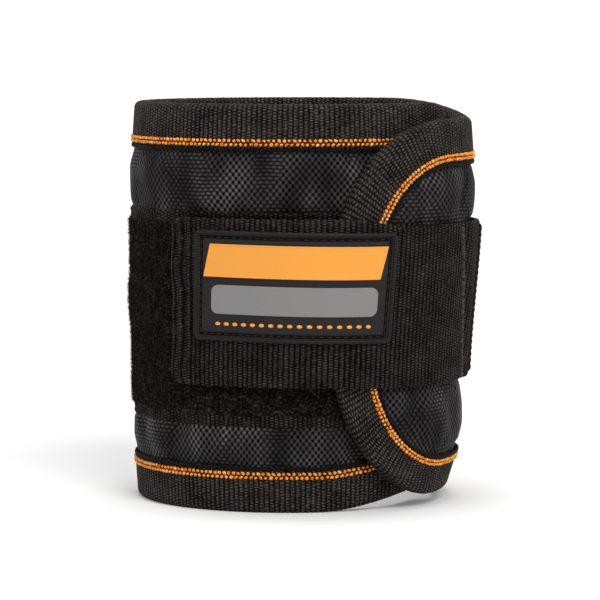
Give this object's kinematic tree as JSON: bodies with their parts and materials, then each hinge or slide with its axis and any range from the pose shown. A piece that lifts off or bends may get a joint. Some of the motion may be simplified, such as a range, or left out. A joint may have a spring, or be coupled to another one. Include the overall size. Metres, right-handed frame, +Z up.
{
  "type": "magnetic wristband",
  "caption": "Padded magnetic wristband for holding screws and small tools, closed into a ring by a round-ended flap and a hook-and-loop webbing strap.",
  "frame": {"origin": "centre of the closed band's outline on the surface that it stands on", "axes": "+Z up along the ring's axis, -Y towards the label on the front of the strap, +X to the label's right, where the strap is sewn to the flap"},
  "size_m": [0.0768, 0.079, 0.088],
  "materials": {
    "nylon_shell": "black ballistic nylon, plain weave with a dull sheen",
    "lining": "black polyester mesh lining, matte",
    "foam": "soft grey padding foam",
    "binding": "black ribbed binding tape",
    "stripe": "orange woven edge stripe with dark gaps between its stitches",
    "loop_pile": "black loop pile, fully matte",
    "hooks": "black moulded hooks",
    "webbing": "black woven webbing with upright ribs",
    "label_rubber": "black soft moulded rubber, satin",
    "label_orange": "orange soft moulded rubber, matte",
    "label_grey": "grey soft moulded rubber, matte",
    "magnet": "nickel-plated magnet, hidden in the padding"
  },
  "bodies": {
    "band": {"band_shell": "nylon_shell", "band_foam_core": "foam", "band_lining": "lining", "band_magnet_1_1": "magnet", "band_magnet_1_2": "magnet", "band_magnet_1_3": "magnet", "band_magnet_2_1": "magnet", "band_magnet_2_2": "magnet", "band_magnet_2_3": "magnet", "band_magnet_3_1": "magnet", "band_magnet_3_2": "magnet", "band_magnet_3_3": "magnet", "band_magnet_4_1": "magnet", "band_magnet_4_2": "magnet", "band_magnet_4_3": "magnet", "band_magnet_5_1": "magnet", "band_magnet_5_2": "magnet", "band_magnet_5_3": "magnet", "band_lower_binding": "binding", "band_upper_binding": "binding", "band_lower_stripe": "stripe", "band_upper_stripe": "stripe", "loop_patch": "loop_pile"},
    "inner_end": {"inner_end_shell": "nylon_shell", "inner_end_foam_core": "foam", "inner_end_lining": "lining", "inner_end_binding": "binding"},
    "flap": {"flap_shell": "nylon_shell", "flap_foam_core": "foam", "flap_lining": "lining", "flap_magnet_1_1": "magnet", "flap_magnet_1_2": "magnet", "flap_magnet_1_3": "magnet", "flap_magnet_2_1": "magnet", "flap_magnet_2_2": "magnet", "flap_magnet_2_3": "magnet", "flap_binding": "binding", "flap_stripe": "stripe", "strap_anchor": "webbing"},
    "strap": {"strap_webbing": "webbing", "hook_patch": "hooks", "label_base": "label_rubber", "label_rim": "label_rubber", "label_upper_panel": "label_orange", "label_lower_panel": "label_grey"}
  },
  "joints": [
    {"name": "flap_open", "type": "hinge", "parent": "band", "child": "flap", "pos_m": [0.0309, 0.02329, 0.044], "axis": [0, 0, 1], "range_deg": [0, 90]},
    {"name": "inner_end_open", "type": "hinge", "parent": "band", "child": "inner_end", "pos_m": [0.01917, -0.02613, 0.044], "axis": [0, 0, 1], "range_deg": [-54, 0]},
    {"name": "strap_peel", "type": "hinge", "parent": "flap", "child": "strap", "pos_m": [0.03601, -0.01515, 0.0452], "axis": [0, 0, 1], "range_deg": [0, 150]}
  ],
  "couplings": [
    {"joint": "inner_end_open", "follows": "flap_open", "ratio": -0.6}
  ]
}
